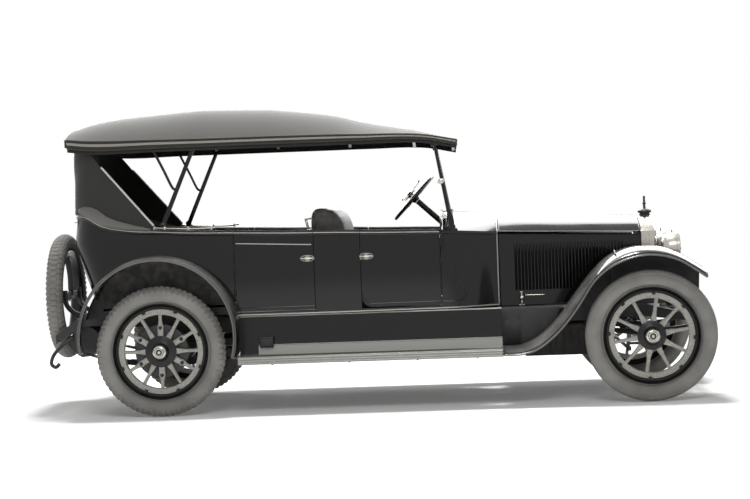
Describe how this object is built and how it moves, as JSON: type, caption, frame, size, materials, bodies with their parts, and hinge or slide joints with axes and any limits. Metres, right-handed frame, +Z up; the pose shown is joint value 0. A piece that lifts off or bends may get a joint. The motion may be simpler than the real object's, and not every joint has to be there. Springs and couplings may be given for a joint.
{
  "type": "1920s touring car",
  "caption": "Open touring car of the 1920s with a raised folding top, four doors, butterfly hood, wood-spoke wheels, running boards and a spare wheel at the back.",
  "frame": {"origin": "on the ground under the middle of the overall length and width", "axes": "+X forward, +Y to the car's left, +Z up"},
  "size_m": [4.804, 1.732, 2.19],
  "materials": {
    "enamel": "gloss black enamel",
    "chassis_paint": "satin black chassis paint",
    "cast": "cast iron",
    "exhaust_metal": "oxidised steel",
    "nickel": "nickel plate",
    "wheel_paint": "pale enamel on hickory",
    "rim_paint": "black enamel",
    "tyre_rubber": "grey rubber",
    "top_cloth": "rubberised twill",
    "seat_leather": "pleated leather",
    "bow_wood": "varnished ash",
    "board_metal": "ribbed aluminium",
    "wheel_rim_wood": "varnished walnut",
    "clear_glass": "plate glass"
  },
  "bodies": {
    "car": {"frame_rails": "chassis_paint", "cross_members": "chassis_paint", "engine_block": "cast", "exhaust": "exhaust_metal", "fuel_tank": "enamel", "front_axle": "chassis_paint", "rear_axle": "chassis_paint", "leaf_springs": "chassis_paint", "body_tub": "enamel", "cowl": "enamel", "front_seat": "seat_leather", "rear_seat": "seat_leather", "windshield_frame": "nickel", "windshield_glass": "clear_glass", "top_deck": "top_cloth", "top_curtains": "top_cloth", "top_bows": "bow_wood", "radiator": "nickel", "lamps": "nickel", "fenders": "enamel", "running_boards": "board_metal", "spare_tyre": "tyre_rubber", "spare_carrier": "rim_paint", "steering_column": "chassis_paint"},
    "steering_wheel": {"steering_wheel": "wheel_rim_wood"},
    "knuckle_left": {"knuckle_left": "chassis_paint"},
    "knuckle_right": {"knuckle_right": "chassis_paint"},
    "tie_rod": {"tie_rod": "chassis_paint"},
    "drag_link": {"drag_link": "chassis_paint"},
    "pitman_arm": {"pitman_arm": "chassis_paint"},
    "wheel_front_left": {"wheel_front_left": "wheel_paint", "tyre_front_left": "tyre_rubber"},
    "front_door_left": {"front_door_left": "enamel"},
    "wheel_front_right": {"wheel_front_right": "wheel_paint", "tyre_front_right": "tyre_rubber"},
    "front_door_right": {"front_door_right": "enamel"},
    "wheel_rear_left": {"wheel_rear_left": "wheel_paint", "tyre_rear_left": "tyre_rubber"},
    "rear_door_left": {"rear_door_left": "enamel"},
    "wheel_rear_right": {"wheel_rear_right": "wheel_paint", "tyre_rear_right": "tyre_rubber"},
    "rear_door_right": {"rear_door_right": "enamel"},
    "hood_top_left": {"hood_top_left": "enamel"},
    "hood_side_left": {"hood_side_left": "enamel"},
    "hood_top_right": {"hood_top_right": "enamel"},
    "hood_side_right": {"hood_side_right": "enamel"}
  },
  "joints": [
    {"name": "front_door_right_hinge", "type": "hinge", "parent": "car", "child": "front_door_right", "pos_m": [0.481, -0.6245, 1], "axis": [0, 0, 1], "range_deg": [0, 70]},
    {"name": "rear_door_right_hinge", "type": "hinge", "parent": "car", "child": "rear_door_right", "pos_m": [-0.976, -0.692, 1], "axis": [0, 0, -1], "range_deg": [0, 70]},
    {"name": "hood_top_right_hinge", "type": "hinge", "parent": "car", "child": "hood_top_right", "pos_m": [0.894, 0, 1.352], "axis": [-0.9984, 0, 0.0566], "range_deg": [0, 50]},
    {"name": "hood_side_right_hinge", "type": "hinge", "parent": "hood_top_right", "child": "hood_side_right", "pos_m": [0.894, -0.42, 1.217], "axis": [-0.9923, -0.1183, 0.0363], "range_deg": [-35, 0]},
    {"name": "front_door_left_hinge", "type": "hinge", "parent": "car", "child": "front_door_left", "pos_m": [0.481, 0.6245, 1], "axis": [0, 0, -1], "range_deg": [0, 70]},
    {"name": "rear_door_left_hinge", "type": "hinge", "parent": "car", "child": "rear_door_left", "pos_m": [-0.976, 0.692, 1], "axis": [0, 0, 1], "range_deg": [0, 70]},
    {"name": "hood_top_left_hinge", "type": "hinge", "parent": "car", "child": "hood_top_left", "pos_m": [0.894, 0, 1.352], "axis": [0.9984, 0, -0.0566], "range_deg": [0, 50]},
    {"name": "hood_side_left_hinge", "type": "hinge", "parent": "hood_top_left", "child": "hood_side_left", "pos_m": [0.894, 0.42, 1.217], "axis": [0.9923, -0.1183, -0.0363], "range_deg": [-35, 0]},
    {"name": "steer_left", "type": "hinge", "parent": "car", "child": "knuckle_left", "pos_m": [1.939, 0.6, 0.463], "axis": [0, 0, 1], "range_deg": [-28, 28]},
    {"name": "steer_right", "type": "hinge", "parent": "car", "child": "knuckle_right", "pos_m": [1.939, -0.6, 0.463], "axis": [0, 0, 1], "range_deg": [-28, 28]},
    {"name": "tie_rod_end", "type": "hinge", "parent": "knuckle_left", "child": "tie_rod", "pos_m": [1.789, 0.6, 0.366], "axis": [0, 0, 1], "range_deg": [-28, 28]},
    {"name": "drag_link_end", "type": "hinge", "parent": "knuckle_left", "child": "drag_link", "pos_m": [1.939, 0.402, 0.49], "axis": [0, 0, 1], "range_deg": [-28, 28]},
    {"name": "pitman_turn", "type": "hinge", "parent": "car", "child": "pitman_arm", "pos_m": [1.12, 0.415, 0.64], "axis": [0, -1, 0], "range_deg": [-34, 34]},
    {"name": "steering_wheel_turn", "type": "hinge", "parent": "car", "child": "steering_wheel", "pos_m": [0.288, 0.35, 1.485], "axis": [-0.7314, 0, 0.682], "range_deg": [-336, 336]},
    {"name": "wheel_front_right_spin", "type": "hinge", "parent": "knuckle_right", "child": "wheel_front_right", "pos_m": [1.939, -0.718, 0.463], "axis": [0, 1, 0], "continuous": true},
    {"name": "wheel_rear_right_spin", "type": "hinge", "parent": "car", "child": "wheel_rear_right", "pos_m": [-1.515, -0.718, 0.463], "axis": [0, 1, 0], "continuous": true},
    {"name": "wheel_front_left_spin", "type": "hinge", "parent": "knuckle_left", "child": "wheel_front_left", "pos_m": [1.939, 0.718, 0.463], "axis": [0, 1, 0], "continuous": true},
    {"name": "wheel_rear_left_spin", "type": "hinge", "parent": "car", "child": "wheel_rear_left", "pos_m": [-1.515, 0.718, 0.463], "axis": [0, 1, 0], "continuous": true}
  ],
  "couplings": [
    {"joint": "hood_side_right_hinge", "follows": "hood_top_right_hinge", "ratio": -0.7},
    {"joint": "hood_side_left_hinge", "follows": "hood_top_left_hinge", "ratio": -0.7},
    {"joint": "steer_right", "follows": "steer_left", "ratio": 1},
    {"joint": "tie_rod_end", "follows": "steer_left", "ratio": -1},
    {"joint": "drag_link_end", "follows": "steer_left", "ratio": -1},
    {"joint": "pitman_turn", "follows": "steer_left", "ratio": 1.19},
    {"joint": "steering_wheel_turn", "follows": "steer_left", "ratio": 12}
  ]
}
